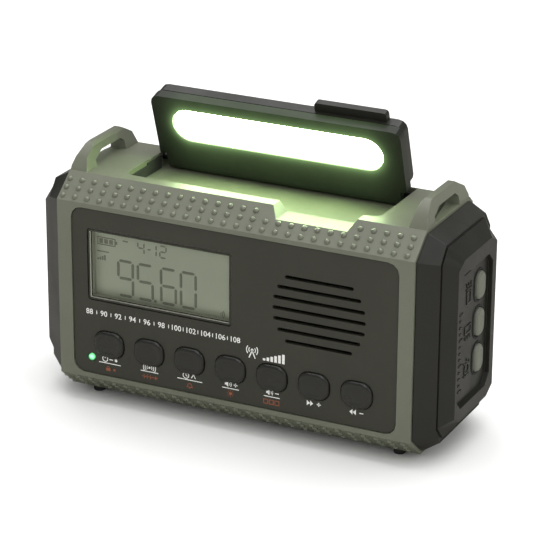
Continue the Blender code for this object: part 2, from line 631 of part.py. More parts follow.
# ---- antenna ----
def antenna():
    x, y, z = ANTENNA_X, ANTENNA_Y, ANTENNA_Z
    swivel = rod("antenna_swivel", "chrome", "Y", 51.7, BACK - 0.2, 3.3, (x, z), 20)
    stem = rod("swivel_stem", None, "Y", 49.3, 52.5, 1.6, (x, z), 16)
    tongue = box("swivel_tongue", None, (x + 1, TILT_X), (y - 2.2, y + 2.2), (z - 1, z + 1))
    eye = rod("tongue_eye", None, "Z", z - 1, z + 1, 2.2, (TILT_X, y), 16)
    rivet = rod("tilt_rivet", None, "Z", z - 2.9, z + 2.9, 0.9, (TILT_X, y), 12)
    join(swivel, stem, tongue, eye, rivet)
    for number, (outer, inner) in enumerate(TUBES, 1):
        start = TUBE_START + (1.2 + 0.4 * number if number > 1 else 0)
        end = TUBE_END + 0.9 * (number - 1)
        tube = rod(f"antenna_tube_{number}", "chrome", "X", start, end, outer, (y, z), 16)
        if number == 1:
            antenna_fork(tube)
        if inner:
            cut(tube, rod("tube_bore", None, "X", TUBE_START + 1.2, end + 5, inner, (y, z), 16))
        else:
            join(tube, rod("antenna_tip", None, "X", end - 0.3, end + 3.0, 2.6, (y, z), 16))


def antenna_fork(tube):
    y, z = ANTENNA_Y, ANTENNA_Z
    block = box("fork_block", None, (TILT_X, TUBE_START + 1.2), (y - 2.2, y + 2.2), (z - 2.8, z + 2.8))
    nose = rod("fork_nose", None, "Z", z - 2.8, z + 2.8, 2.2, (TILT_X, y), 16)
    slot = box("fork_slot", None, (TILT_X - 4, TILT_X + 2.6), (y - 4, y + 4), (z - 1.3, z + 1.3))
    hole = rod("fork_hole", None, "Z", z - 5, z + 5, 1.2, (TILT_X, y), 12)
    join(block, nose)
    cut(block, slot, hole)
    join(tube, block)


# ---- inside and back ----
def hatches():
    x0, x1, z0, z1 = BATTERY_HATCH
    door = rounded(x0 + GAP, x1 - GAP, z0 + GAP, z1 - GAP, 1.8)
    plate("battery_door", "olive", "Y", BACK - 1.4, BACK, [door])
    x0, x1, z0, z1 = PORT_FLAP
    flap = rounded(x0 + GAP, x1 - GAP, z0 + 0.5, z1 - GAP, 1.0)
    plate("port_cover", "rubber", "Y", BACK - 1.4, BACK, [flap])
    x0, x1, z0, z1 = USB_MOUTH
    socket = box("usb_socket", "steel", (x0, x1), (44, BACK - 2.0), (z0, z1))
    cut(socket, box("usb_mouth", None, (x0 + 0.5, x1 - 0.5), (46, 70), (z0 + 0.5, z1 - 0.5)))


def insides():
    rod("power_led", "green_light", "Y", 0.1, 3.6, 1.4, LED_AT, 14)
    strip = [(-60, 3.2), (60, 3.2), (60, 19.0), (8, 19.0), (8, 58), (-60, 58)]
    plate("main_board", "circuit", "Y", 9.0, 10.6, [strip])
    box("keypad", "rubber", (-58, 60), (5.2, 6.4), (6.0, 19.4))
    plate("battery_pack", "wrap", "X", -58, -16, [rounded(26, 46, 1.0, 21.0, 4)])
    rod("ferrite_rod", "ferrite", "X", -55, -6, 3.6, (30, 57), 20)
    plate("ferrite_coil", "copper", "X", -40, -24, [circle(5.0, 20), circle(3.95, 20)], (30, 57))


def feet():
    for side, row in ((-1, "left"), (1, "right")):
        for y, place in zip(FEET_Y, ("front", "rear")):
            rod(f"foot_{place}_{row}", "rubber", "Z", FLOOR, BASE + 0.7, 2.2, (side * FEET_X, y), 16)


main_housing()
rear_cover()
right_end_cap()
left_end_cap()
front_panel()
front_buttons()
display()
speaker()
side_buttons()
torch()
lid()
crank()
gear_train()
antenna()
hatches()
insides()
feet()
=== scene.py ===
"""Emergency radio: surface detail, materials, stage and camera around the CAD frame.

Shapes are drawn in millimetres in the CAD's design frame (X right, Y back from the front face, Z up).
"""

import math

import bmesh
import bpy
from mathutils import Matrix, Vector

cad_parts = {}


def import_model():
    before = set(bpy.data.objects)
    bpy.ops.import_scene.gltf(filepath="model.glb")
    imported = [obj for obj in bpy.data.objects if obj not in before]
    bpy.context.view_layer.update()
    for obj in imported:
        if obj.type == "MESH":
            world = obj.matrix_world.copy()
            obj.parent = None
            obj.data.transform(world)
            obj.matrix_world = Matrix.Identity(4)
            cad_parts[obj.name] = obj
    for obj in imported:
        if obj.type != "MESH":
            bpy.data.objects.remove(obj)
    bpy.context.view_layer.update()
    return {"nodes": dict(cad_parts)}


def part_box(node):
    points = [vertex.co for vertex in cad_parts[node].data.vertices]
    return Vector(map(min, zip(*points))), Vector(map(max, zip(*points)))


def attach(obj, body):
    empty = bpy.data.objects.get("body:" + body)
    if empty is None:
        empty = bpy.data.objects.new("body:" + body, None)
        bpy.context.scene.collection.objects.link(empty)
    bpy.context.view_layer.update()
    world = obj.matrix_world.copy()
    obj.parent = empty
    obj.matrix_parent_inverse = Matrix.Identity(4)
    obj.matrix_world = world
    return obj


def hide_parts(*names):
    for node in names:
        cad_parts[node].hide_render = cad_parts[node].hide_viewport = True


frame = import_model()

MM = 0.001
NODES = frame["nodes"]
PANEL_CORNER = Vector((-63.7, 0.5, 0.4))  # lowest corner of the front panel in the design frame
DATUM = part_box("front_panel")[0] / MM - PANEL_CORNER

# ---- measures of the design frame, in millimetres ----
FRONT_TOP, FRONT_FOOT = 65.5, -1.6  # heights of the front face's upper and lower edge
DECK, BASE = 73.5, -9.6  # heights of the top and of the underside
BEVEL_DEPTH = 9.7  # how far back the bevels reach from the front
SEAM, BACK = 48.3, 57.7  # depths of the rear bevel's start and of the back
RIGHT_FIELD, LEFT_FACE = 79.4, -81.1  # X of the right cap's key field and of the left cap's face
PANEL_FACE = 0.5  # how deep the front panel lies behind the shell's front
BUTTONS = ("power", "band", "time", "volume_up", "volume_down", "tune_up", "tune_down")
BUTTON_FIRST, BUTTON_PITCH, BUTTON_HEIGHT = -49.2, 16.35, 12.6
SIDE_BUTTON_Y, SIDE_BUTTON_Z = 34.4, (47.2, 33.4, 19.7)
SIDE_KEY = (3.6, 5.1, 3.3)  # half depth, half height and corner radius of a side key
SPEAKER_AT = (33.95, 39.5)
TORCH_AT = (28.85, 32.7)
HINGE_AT = (0.0, 44.62, 71.3)
LID_TILT = -72.08  # degrees from the closed lid to the open one, about X
LAMP_AT, LAMP_HALF, LAMP_ROUND = -18.07, 34.75, 6.55  # on the lid: centre line, half length, end radius
CRANK_AT = (34.0, 38.0)
LED_HOT_SPOT = (-56.45, 0, 6.7)
BUMP_RADIUS, BUMP_HEIGHT, BUMP_FOOT, BUMP_SIDES, BUMP_STEPS = 1.12, 0.8, -0.35, 20, 4
BUMP_COUNT, BUMP_FIRST, BUMP_PITCH = 28, -67.9, 4.963
BUMP_LINES = (9.07, 5.5, 1.94)  # distances of the three lines of bumps up the bevel
NOTCH = (10.2, 45.2)  # X range of the finger notch
LCD_INK = (-4.68, -4.6)  # lower and upper face of the display's segments
PRINT = (-PANEL_FACE - 0.02, -PANEL_FACE + 0.06)  # the same of the print on the panel
WELD = 1e-4  # corners closer than this are one


# ---- places: matrices from local millimetres to the part's frame in metres ----
def world(x, y, z):
    """A point of the design frame in the frame of the part, in metres."""
    return (Vector((x, y, z)) + DATUM) * MM


def axes(origin, right, up):
    """Columns right, up and right x up, in millimetres."""
    right, up = Vector(right).normalized(), Vector(up).normalized()
    made = Matrix((right, up, right.cross(up))).transposed().to_4x4()
    return Matrix.Translation(Vector(origin)) @ made


TO_WORLD = Matrix.Scale(MM, 4) @ Matrix.Translation(DATUM)
LID = TO_WORLD @ Matrix.Translation(HINGE_AT) @ Matrix.Rotation(math.radians(LID_TILT), 4, "X")


def face(origin, right, up):
    """The matrix of a plane: u to the right, v up and w out of it."""
    return TO_WORLD @ axes(origin, right, up)


FRONT = face((0, 0, 0), (1, 0, 0), (0, 0, 1))
REAR = face((0, BACK, 0), (-1, 0, 0), (0, 0, 1))
RIGHT = face((RIGHT_FIELD, 0, 0), (0, 1, 0), (0, 0, 1))
LEFT = face((LEFT_FACE, 0, 0), (0, -1, 0), (0, 0, 1))


# ---- materials ----
LOOKS = {}


class Nodes:
    """A material's tree, with short calls for the nodes used here."""

    def __init__(self, name):
        self.material = bpy.data.materials.new(name)
        self.material.use_nodes = True
        self.tree = self.material.node_tree
        self.shader = self.tree.nodes["Principled BSDF"]
        self.place = self.tree.nodes.new("ShaderNodeTexCoord").outputs["Object"]
        LOOKS[name] = self

    def node(self, kind, inputs=(), **settings):
        made = self.tree.nodes.new(kind)
        for key, value in settings.items():
            setattr(made, key, value)
        for key, value in dict(inputs).items():
            self.give(made.inputs[key], value)
        return made

    def give(self, socket, value):
        if isinstance(value, bpy.types.NodeSocket):
            self.tree.links.new(value, socket)
        else:
            socket.default_value = value

    def set(self, **values):
        for key, value in values.items():
            self.give(self.shader.inputs[key.replace("_", " ")], value)

    def noise(self, scale, detail=2.0, rough=0.5, place=None):
        made = self.node("ShaderNodeTexNoise", {"Vector": place or self.place, "Scale": scale,
                                                "Detail": detail, "Roughness": rough})
        return made.outputs["Fac"]

    def math(self, operation, a, b=0.0, clamp=False):
        made = self.node("ShaderNodeMath", operation=operation, use_clamp=clamp)
        self.give(made.inputs[0], a)
        self.give(made.inputs[1], b)
        return made.outputs[0]

    def range(self, value, low, high, to_low=0.0, to_high=1.0):
        made = self.node("ShaderNodeMapRange", {"Value": value, "From Min": low, "From Max": high,
                                                "To Min": to_low, "To Max": to_high})
        return made.outputs[0]

    def mix(self, share, a, b):
        made = self.node("ShaderNodeMix", data_type="RGBA")
        self.give(made.inputs[0], share)
        self.give(made.inputs[6], (*a, 1.0) if isinstance(a, tuple) else a)
        self.give(made.inputs[7], (*b, 1.0) if isinstance(b, tuple) else b)
        return made.outputs[2]

    def normal(self, axis):
        """One component of the surface's normal: 0, 1 or 2 for X, Y or Z."""
        return self.node("ShaderNodeSeparateXYZ",
                         {0: self.node("ShaderNodeNewGeometry").outputs["Normal"]}).outputs[axis]

    def vector(self, operation, a, b=None):
        """The node of a vector sum, product or length."""
        return self.node("ShaderNodeVectorMath", {0: a} if b is None else {0: a, 1: b}, operation=operation)

    def glow(self, colour):
        self.shader.inputs["Emission Color"].default_value = (*colour, 1.0)

    def edge(self, radius):
        """0 on flat faces, rising to 1 within the radius of an outer edge."""
        bevel = self.node("ShaderNodeBevel", {"Radius": radius}, samples=4)
        flat = self.node("ShaderNodeNewGeometry").outputs["Normal"]
        dot = self.vector("DOT_PRODUCT", bevel.outputs[0], flat)
        return self.range(dot.outputs["Value"], 0.995, 0.86)

    def bump(self, height, strength, distance, normal=None):
        made = self.node("ShaderNodeBump", {"Height": height, "Strength": strength, "Distance": distance})
        if normal is not None:
            self.give(made.inputs["Normal"], normal)
        return made.outputs[0]


def shade(colour, by):
    return tuple(min(1.0, c * by) for c in colour)


def plastic(name, colour, rough, grain=0.5, wear=0.35, dust=0.06, shine=0.35):
    """Moulded plastic: spark-eroded grain, handling marks, faded blotches and rubbed edges."""
    n = Nodes(name)
    blotch = n.range(n.noise(28, 4.0, 0.6), 0.3, 0.7)
    fine = n.noise(2600, 2.0, 0.6)
    speck = n.range(fine, 0.35, 0.65)
    base = n.mix(blotch, shade(colour, 0.92), shade(colour, 1.07))
    base = n.mix(n.math("MULTIPLY", speck, 0.10), base, shade(colour, 1.5))
    rubbed = n.math("MULTIPLY", n.edge(0.0005), n.range(n.noise(190, 3.0, 0.65), 0.38, 0.66), True)
    base = n.mix(n.math("MULTIPLY", rubbed, wear), base, shade(colour, 1.9))
    up = n.normal(2)
    settled = n.math("MULTIPLY", n.range(up, 0.4, 1.0), n.range(n.noise(60, 5.0, 0.7), 0.4, 0.75))
    base = n.mix(n.math("MULTIPLY", settled, dust), base, (0.42, 0.41, 0.37))
    smudge = n.range(n.noise(45, 5.0, 0.65), 0.3, 0.72, rough - 0.06, rough + 0.08)
    n.set(Base_Color=base, Roughness=n.math("SUBTRACT", smudge, n.math("MULTIPLY", rubbed, 0.1)))
    coarse = n.bump(n.noise(900, 3.0, 0.55), 0.35 * grain, 0.00012)
    n.set(Normal=n.bump(fine, 0.5 * grain, 0.00006, coarse))
    n.shader.inputs["Specular IOR Level"].default_value = shine
    return n


def rubber(name, colour):
    """Matt moulded rubber."""
    n = Nodes(name)
    fine = n.noise(1900, 3.0, 0.7)
    n.set(Base_Color=n.mix(n.range(n.noise(70, 4.0), 0.3, 0.7), shade(colour, 0.8), shade(colour, 1.5)),
          Roughness=n.range(fine, 0.3, 0.7, 0.72, 0.9), Normal=n.bump(fine, 0.5, 0.0001))


def metal(name, colour, rough, brushed=None):
    """Metal with fine drawing lines along one axis, smudges and faint pitting."""
    n = Nodes(name)
    stretched = n.place
    if brushed:
        stretched = n.node("ShaderNodeMapping", {"Vector": n.place, "Scale": brushed}).outputs[0]
    lines = n.noise(1.0 if brushed else 900, 3.0, 0.6, stretched)
    smudge = n.noise(110, 5.0, 0.7)
    n.set(Metallic=1.0,
          Base_Color=n.mix(n.range(smudge, 0.3, 0.75), colour, shade(colour, 0.82)),
          Roughness=n.math("ADD", n.range(lines, 0.3, 0.7, rough * 0.8, rough * 1.25),
                           n.range(smudge, 0.45, 0.8, 0.0, 0.12)),
          Normal=n.bump(lines, 0.12, 0.00005))


plastic("olive", (0.118, 0.127, 0.09), 0.4, grain=0.6, shine=0.5)
plastic("panel", (0.033, 0.0325, 0.0235), 0.4, grain=0.35, wear=0.15, dust=0.03, shine=0.4)
plastic("black", (0.0135, 0.0135, 0.0102), 0.38, grain=0.5, wear=0.5, dust=0.03, shine=0.42)
plastic("key", (0.0145, 0.0143, 0.0118), 0.28, grain=0.3, wear=0.5, dust=0.0, shine=0.6)
plastic("olive_worn", (0.118, 0.127, 0.09), 0.2, grain=0.2, shine=0.75)
plastic("grey_key", (0.125, 0.13, 0.102), 0.46, grain=0.6)
plastic("gear", (0.62, 0.61, 0.55), 0.42, grain=0.3)
plastic("ferrite", (0.03, 0.03, 0.032), 0.6, grain=1.2)
plastic("wrap", (0.02, 0.05, 0.16), 0.3, grain=0.1)
rubber("rubber", (0.014, 0.014, 0.014))
rubber("cone", (0.028, 0.026, 0.024))
metal("steel", (0.52, 0.52, 0.5), 0.3, (2500, 2500, 120))
metal("oxide", (0.05, 0.05, 0.048), 0.4)
metal("chrome", (0.78, 0.78, 0.77), 0.12, (60, 3000, 3000))
metal("mirror", (0.85, 0.85, 0.84), 0.07)
metal("brass", (0.58, 0.42, 0.17), 0.28)
metal("busbar", (0.6, 0.61, 0.63), 0.35)


def frame_look():
    """The display's frame: pale on the walls that face the display; its faces turned to the front, bevels
    included, get a painted shade, dark like the panel in front, that keeps their highlights out.
    """
    n = plastic("light_grey", (0.62, 0.63, 0.54), 0.5, grain=0.25, shine=0.3)
    pale = n.shader.inputs["Base Color"].links[0].from_socket
    # painted shade: faces whose normal points to the front, bevels included, are coloured dark
    front = n.range(n.normal(1), -0.1, -0.3)
    n.set(Base_Color=n.mix(front, pale, (0.034, 0.033, 0.025)))


def lcd_look():
    """Reflective display glass: a faint cell grid and a slow shift of tone."""
    n = Nodes("lcd")
    slow = n.range(n.noise(18, 2.0), 0.3, 0.7)
    dots = n.node("ShaderNodeTexVoronoi", {"Vector": n.place, "Scale": 3200.0}, feature="F1").outputs[0]
    base = n.mix(slow, (0.48, 0.5, 0.41), (0.53, 0.55, 0.45))
    n.set(Base_Color=n.mix(n.math("MULTIPLY", dots, 0.12), base, (0.36, 0.38, 0.31)),
          Roughness=n.range(slow, 0.0, 1.0, 0.3, 0.4), Normal=n.bump(dots, 0.06, 0.00003))


def glass_look():
    """Thin clear cover: what is behind shows straight through, under a faint gloss that grows at a slant."""
    n = Nodes("clear")
    smear = n.range(n.noise(160, 5.0, 0.7), 0.45, 0.8, 0.04, 0.14)
    n.set(Base_Color=n.mix(smear, (0.02, 0.02, 0.02), (0.05, 0.05, 0.05)), Roughness=smear)
    through = n.node("ShaderNodeBsdfTransparent", {"Color": (0.95, 0.96, 0.94, 1.0)})
    fresnel = n.node("ShaderNodeFresnel", {"IOR": 1.3}).outputs[0]
    gloss = n.math("ADD", fresnel, n.math("MULTIPLY", smear, 0.1))
    mixed = n.node("ShaderNodeMixShader", {0: gloss, 1: through.outputs[0], 2: n.shader.outputs[0]})
    n.give(n.tree.nodes["Material Output"].inputs["Surface"], mixed.outputs[0])


def glow_look(name, colour, strength, rough):
    """A lit or phosphor surface, slightly cloudy."""
    n = Nodes(name)
    cloud = n.range(n.noise(220, 2.0), 0.2, 0.8, 0.94, 1.0)
    n.set(Base_Color=n.mix(cloud, shade(colour, 0.85), colour),
          Roughness=n.range(cloud, 0.94, 1.0, rough, rough + 0.1),
          Emission_Strength=n.math("MULTIPLY", cloud, strength), Normal=n.bump(cloud, 0.1, 0.0001))
    n.glow(colour)


def indicator_look():
    """Small green lamp: a hot centre that falls off to a dark green rim."""
    n = Nodes("green_light")
    offset = n.vector("SUBTRACT", n.place, world(*LED_HOT_SPOT))
    flat = n.vector("MULTIPLY", offset.outputs[0], Vector((1, 0, 1)))
    out = n.vector("LENGTH", flat.outputs[0]).outputs["Value"]
    n.set(Base_Color=n.mix(n.range(out, 0.0004, 0.0013), (0.15, 0.6, 0.24), (0.02, 0.2, 0.06)),
          Roughness=n.range(n.noise(220, 2.0), 0.2, 0.8, 0.2, 0.3),
          Emission_Strength=n.range(out, 0.0004, 0.0013, 2.6, 0.16))
    n.glow((0.19, 0.8, 0.3))


def circuit_look():
    """Solder mask over copper tracks laid on a square grid."""
    n = Nodes("circuit")
    cells = n.node("ShaderNodeTexVoronoi", {"Vector": n.place, "Scale": 420.0, "Randomness": 1.0},
                   feature="F1", distance="CHEBYCHEV").outputs[0]
    track = n.range(n.math("FRACT", n.math("MULTIPLY", cells, 3.0)), 0.42, 0.5)
    n.set(Base_Color=n.mix(track, (0.012, 0.075, 0.03), (0.03, 0.16, 0.06)),
          Roughness=n.range(track, 0.0, 1.0, 0.35, 0.28), Normal=n.bump(track, 0.4, 0.00005))


def solar_look():
    """Dark blue crystalline cells under lacquer."""
    n = Nodes("solar")
    grain = n.node("ShaderNodeTexVoronoi", {"Vector": n.place, "Scale": 260.0}, feature="F1")
    tone = n.node("ShaderNodeSeparateXYZ", {0: grain.outputs["Color"]}).outputs[0]
    n.set(Base_Color=n.mix(tone, (0.003, 0.009, 0.024), (0.006, 0.026, 0.062)),
          Roughness=n.range(n.noise(90, 4.0), 0.3, 0.75, 0.14, 0.3), Normal=n.bump(tone, 0.05, 0.00003))
    n.shader.inputs["Coat Weight"].default_value = 0.6
    n.shader.inputs["Coat Roughness"].default_value = 0.06


def copper_look():
    """Fine enamelled wire wound about X."""
    n = Nodes("copper")
    wave = n.node("ShaderNodeTexWave", {"Vector": n.place, "Scale": 1200.0, "Distortion": 0.4},
                  bands_direction="X").outputs["Fac"]
    n.set(Metallic=1.0, Base_Color=n.mix(wave, (0.3, 0.1, 0.04), (0.62, 0.28, 0.13)),
          Roughness=n.range(wave, 0.0, 1.0, 0.45, 0.25), Normal=n.bump(wave, 0.8, 0.0002))


def ink_look(name, colour):
    """Screen-printed ink: slightly uneven cover and a dry surface."""
    n = Nodes(name)
    patchy = n.range(n.noise(1500, 3.0, 0.7), 0.3, 0.6)
    n.set(Base_Color=n.mix(patchy, shade(colour, 0.8), colour),
          Roughness=n.range(patchy, 0.0, 1.0, 0.6, 0.45), Normal=n.bump(patchy, 0.2, 0.00003))


def bezel_look():
    """The lid's black plastic with a painted green glow: emission that stands in for the lamp's light falling
    on it, dying away from the lamp's outline.
    """
    n = plastic("bezel", (0.010, 0.0105, 0.008), 0.4, grain=0.5, wear=0.3, dust=0.0, shine=0.3)
    centre = LID @ Vector((0, LAMP_AT, -3.5))
    along = LID.to_3x3() @ Vector((0, 1, 0))
    along.normalize()
    offset = n.vector("SUBTRACT", n.place, centre).outputs[0]
    across = n.vector("DOT_PRODUCT", offset, along).outputs["Value"]
    sideways = n.node("ShaderNodeSeparateXYZ", {0: offset}).outputs[0]
    past = n.math("MAXIMUM", n.math("SUBTRACT", n.math("ABSOLUTE", sideways), LAMP_HALF * MM), 0.0)
    past_wide = n.math("MULTIPLY", past, 1.7)
    side = n.math("POWER", n.math("ABSOLUTE", across), 2.0)

    # painted glow that fades with distance past the lamp's rim
    def fade(reach, length):
        distance = n.math("SQRT", n.math("ADD", n.math("POWER", reach, 2.0), side))
        past_rim = n.math("SUBTRACT", distance, LAMP_ROUND * MM)
        return n.math("POWER", 2.718, n.math("MULTIPLY", past_rim, -1 / length))

    near, wide = fade(past, 0.0011), fade(past_wide, 0.0068)
    patch = n.range(n.noise(95, 3.0, 0.6), 0.25, 0.75, 0.75, 1.2)
    painted_halo = n.math("MULTIPLY", n.math("MULTIPLY", wide, patch), 0.1)
    # painted light: the bezel glows green near the lamp, though the bezel is no lamp
    n.set(Emission_Strength=n.math("ADD", n.math("MULTIPLY", near, 0.42), painted_halo))
    n.glow((0.52, 0.9, 0.34))


frame_look()
lcd_look()
glass_look()
glow_look("lamp", (0.72, 1.0, 0.5), 21.0, 0.35)
indicator_look()
glow_look("phosphor", (0.9, 0.75, 0.12), 0.0, 0.4)
circuit_look()
solar_look()
copper_look()
ink_look("white_ink", (0.78, 0.78, 0.74))
ink_look("orange_ink", (0.27, 0.075, 0.03))
ink_look("segment", (0.25, 0.255, 0.205))
bezel_look()


# ---- geometry ----
def clean_group():
    """Welds a mesh's split triangles and drops the normals they came with."""
    group = bpy.data.node_groups.new("clean", "GeometryNodeTree")
    group.interface.new_socket("Geometry", in_out="INPUT", socket_type="NodeSocketGeometry")
    group.interface.new_socket("Geometry", in_out="OUTPUT", socket_type="NodeSocketGeometry")
    start = group.nodes.new("NodeGroupInput")
    end = group.nodes.new("NodeGroupOutput")
    merge = group.nodes.new("GeometryNodeMergeByDistance")
    merge.inputs["Distance"].default_value = 2e-6
    group.links.new(start.outputs[0], merge.inputs[0])
    last = merge.outputs[0]
    for name in ("custom_normal", "sharp_edge", "sharp_face"):
        remove = group.nodes.new("GeometryNodeRemoveAttribute")
        remove.inputs["Name"].default_value = name
        group.links.new(last, remove.inputs[0])
        last = remove.outputs[0]
    group.links.new(last, end.inputs[0])
    return group


CLEAN = clean_group()


def weigh_normals(obj):
    normals = obj.modifiers.new("normals", "WEIGHTED_NORMAL")
    normals.keep_sharp = True


def refine(obj, width, segments, merge_flat):
    """Rounds the sharp edges and shades the rest smooth."""
    obj.modifiers.new("clean", "NODES").node_group = CLEAN
    if merge_flat:
        flat = obj.modifiers.new("flat", "DECIMATE")
        flat.decimate_type = "DISSOLVE"
        flat.angle_limit = math.radians(0.4)
    edge = obj.modifiers.new("edge", "BEVEL")
    edge.width = width * MM
    edge.segments = segments
    edge.limit_method = "ANGLE"
    edge.angle_limit = math.radians(30.0)
    edge.miter_outer = "MITER_ARC"
    weigh_normals(obj)


def finish_mesh(name, shape, at, body, look, smooth=True):
    """Turns a drawn shape into a piece that rides on a body."""
    bmesh.ops.remove_doubles(shape, verts=shape.verts, dist=WELD)
    bmesh.ops.recalc_face_normals(shape, faces=shape.faces)
    shape.transform(at)
    mesh = bpy.data.meshes.new(name)
    shape.to_mesh(mesh)
    shape.free()
    mesh.polygons.foreach_set("use_smooth", [smooth] * len(mesh.polygons))
    mesh.materials.append(LOOKS[look].material)
    obj = bpy.data.objects.new(name, mesh)
    bpy.context.scene.collection.objects.link(obj)
    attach(obj, body)
    return obj


def soft_edges(obj, angle=40.0):
    """Smooth shading that stays crisp over edges sharper than angle."""
    obj.data.set_sharp_from_angle(angle=math.radians(angle))
    weigh_normals(obj)


def prism(shape, points, low, high):
    """A closed block over a simple outline."""
    lower = [shape.verts.new((u, v, low)) for u, v in points]
    upper = [shape.verts.new((u, v, high)) for u, v in points]
    shape.faces.new(lower[::-1])
    shape.faces.new(upper)
    for i in range(len(points)):
        j = (i + 1) % len(points)
        shape.faces.new((lower[i], lower[j], upper[j], upper[i]))


def band(shape, outer, inner, low, high):
    """A closed ring between two outlines of equally many points."""
    loops = [[shape.verts.new((u, v, w)) for u, v in points]
             for points, w in ((outer, low), (outer, high), (inner, high), (inner, low))]
    for a, b in zip(loops, loops[1:] + loops[:1]):
        for i in range(len(a)):
            j = (i + 1) % len(a)
            shape.faces.new((a[i], a[j], b[j], b[i]))


def rings(shape, rows, cap=True):
    """A skin through rings of equally many points; a one-point ring closes it to a tip."""
    made = [[shape.verts.new(p) for p in row] for row in rows]
    for low, high in zip(made, made[1:]):
        count = max(len(low), len(high))
        for i in range(count):
            j = (i + 1) % count
            if len(high) == 1:
                shape.faces.new((low[i], low[j], high[0]))
            elif len(low) == 1:
                shape.faces.new((low[0], high[j], high[i]))
            else:
                shape.faces.new((low[i], low[j], high[j], high[i]))
    if cap and len(made[0]) > 1:
        shape.faces.new(made[0][::-1])
    if cap and len(made[-1]) > 1:
        shape.faces.new(made[-1])


def circle(radius, count, u=0.0, v=0.0):
    turns = [2 * math.pi * i / count for i in range(count)]
    return [(u + radius * math.cos(t), v + radius * math.sin(t)) for t in turns]


def arc(u, v, radius, start, end, steps):
    angles = [math.radians(start + (end - start) * i / steps) for i in range(steps + 1)]
    return [(u + radius * math.cos(a), v + radius * math.sin(a)) for a in angles]


def rounded(u0, u1, v0, v1, radius, steps):
    """A rectangle with round corners."""
    points = []
    for u, v, start in ((u1, v1, 0), (u0, v1, 90), (u0, v0, 180), (u1, v0, 270)):
        cu = u - radius if u == u1 else u + radius
        cv = v - radius if v == v1 else v + radius
        points += arc(cu, cv, radius, start, start + 90, steps)
    return points


def stroke(shape, points, width, low, high, closed=False):
    """A line of constant width through the points, with mitred turns."""
    count = len(points)
    left, right = [], []
    for i, p in enumerate(points):
        before = points[i - 1] if i or closed else None
        after = points[(i + 1) % count] if i < count - 1 or closed else None
        heads = []
        if before:
            heads.append((Vector(p) - Vector(before)).normalized())
        if after:
            heads.append((Vector(after) - Vector(p)).normalized())
        head = sum(heads, Vector((0, 0))).normalized()
        side = Vector((-head.y, head.x))
        reach = width / 2 / max(0.35, side.dot(Vector((-heads[0].y, heads[0].x))))
        left.append(Vector(p) + side * reach)
        right.append(Vector(p) - side * reach)
    if closed:
        band(shape, left, right, low, high)
    else:
        prism(shape, left + right[::-1], low, high)


# ---- carried-over CAD nodes: look and edge radius of each ----
CARRIED = {
    "olive": (0.45, "main_housing rear_cover battery_door"),
    "panel": (0.3, "front_panel"),
    "black": (0.4, "left_end_cap right_end_cap lid_shell crank_arm crank_knob"),
    # the bezel look carries a painted green glow around the lamp
    "bezel": (0.5, "lid_bezel"),
    "light_grey": (0.2, "lcd_frame"),
    "lcd": (0.1, "lcd_module"),
    "clear": (0.15, "lcd_lens torch_lens"),
    "lamp": (0.3, "lamp_diffuser"),
    "green_light": (0.4, "power_led"),
    "rubber": (0.35, "foot_front_left foot_front_right foot_rear_left foot_rear_right keypad port_cover"),
    "steel": (0.15, "speaker_basket crank_axle knob_shaft gearbox_plate usb_socket generator"),
    "oxide": (0.2, "hinge_pin_left hinge_pin_right"),
    "chrome": (0.2, "antenna_swivel antenna_tube_1 antenna_tube_2 antenna_tube_3 antenna_tube_4"),
    "mirror": (0.1, "torch_reflector"),
    "brass": (0.06, "generator_pinion"),
    "circuit": (0.1, "main_board side_board torch_board lamp_board"),
    "solar": (0.1, "solar_panel"),
    "gear": (0.06, "drive_gear idler_gear"),
    "ferrite": (0.3, "ferrite_rod speaker_magnet"),
    "copper": (0.2, "ferrite_coil"),
    "wrap": (0.5, "battery_pack"),
    "cone": (0.1, "speaker_cone"),
}
for look, (width, names) in CARRIED.items():
    for name in names.split():
        node = NODES[name]
        refine(node, width, 2 if width < 0.1 else 3, name != "lcd_frame")
        node.data.materials[0] = LOOKS[look].material


# ---- grip bumps on the shell's bevels ----
def dome(shape, u, v):
    rows = [[(x, y, BUMP_FOOT) for x, y in circle(BUMP_RADIUS, BUMP_SIDES, u, v)]]
    for i in range(BUMP_STEPS):
        r = BUMP_RADIUS * (1 - (i / BUMP_STEPS) ** 1.7)
        w = BUMP_HEIGHT * math.sqrt(max(0.0, 1 - (r / BUMP_RADIUS) ** 2))
        rows.append([(x, y, w) for x, y in circle(r, BUMP_SIDES, u, v)])
    rows.append([(u, v, BUMP_HEIGHT)])
    rings(shape, rows)


def grip_bumps(name, origin, rise, way, lines, skip=None):
    """Lines of bumps on a bevel; way is 1 where the bevel's u runs along X and -1 where it runs against."""
    shape = bmesh.new()
    for row, line_at in enumerate(lines):
        for i in range(BUMP_COUNT):
            x = BUMP_FIRST + BUMP_PITCH * i
            if not (skip and skip(row, x)):
                dome(shape, x * way, line_at)
    finish_mesh(name, shape, face(origin, (way, 0, 0), rise), "housing", "olive_worn")


def over_notch(row, x):
    return row == 0 and NOTCH[0] < x < NOTCH[1]


grip_bumps("grip_bumps_front_top", (0, 0, FRONT_TOP), (0, BEVEL_DEPTH, DECK - FRONT_TOP), 1,
           BUMP_LINES, over_notch)
grip_bumps("grip_bumps_front_foot", (0, 0, FRONT_FOOT), (0, BEVEL_DEPTH, BASE - FRONT_FOOT), -1,
           BUMP_LINES[::-1])
grip_bumps("grip_bumps_rear_foot", (0, BACK, FRONT_FOOT), (0, SEAM - BACK, BASE - FRONT_FOOT), 1,
           BUMP_LINES[::-1])


# ---- keys ----
FLANGE_REACH, RIM_STEPS = 0.9, 6  # how far a key's flange stands out, and the steps of its rounded rim


def key_outline(half_u, half_v, radius, inset=0.0, grow=1.0):
    corner = max(0.4, radius - inset)
    points = rounded(-half_u + inset, half_u - inset, -half_v + inset, half_v - inset, corner, 8)
    return [(u * grow, v * grow) for u, v in points]


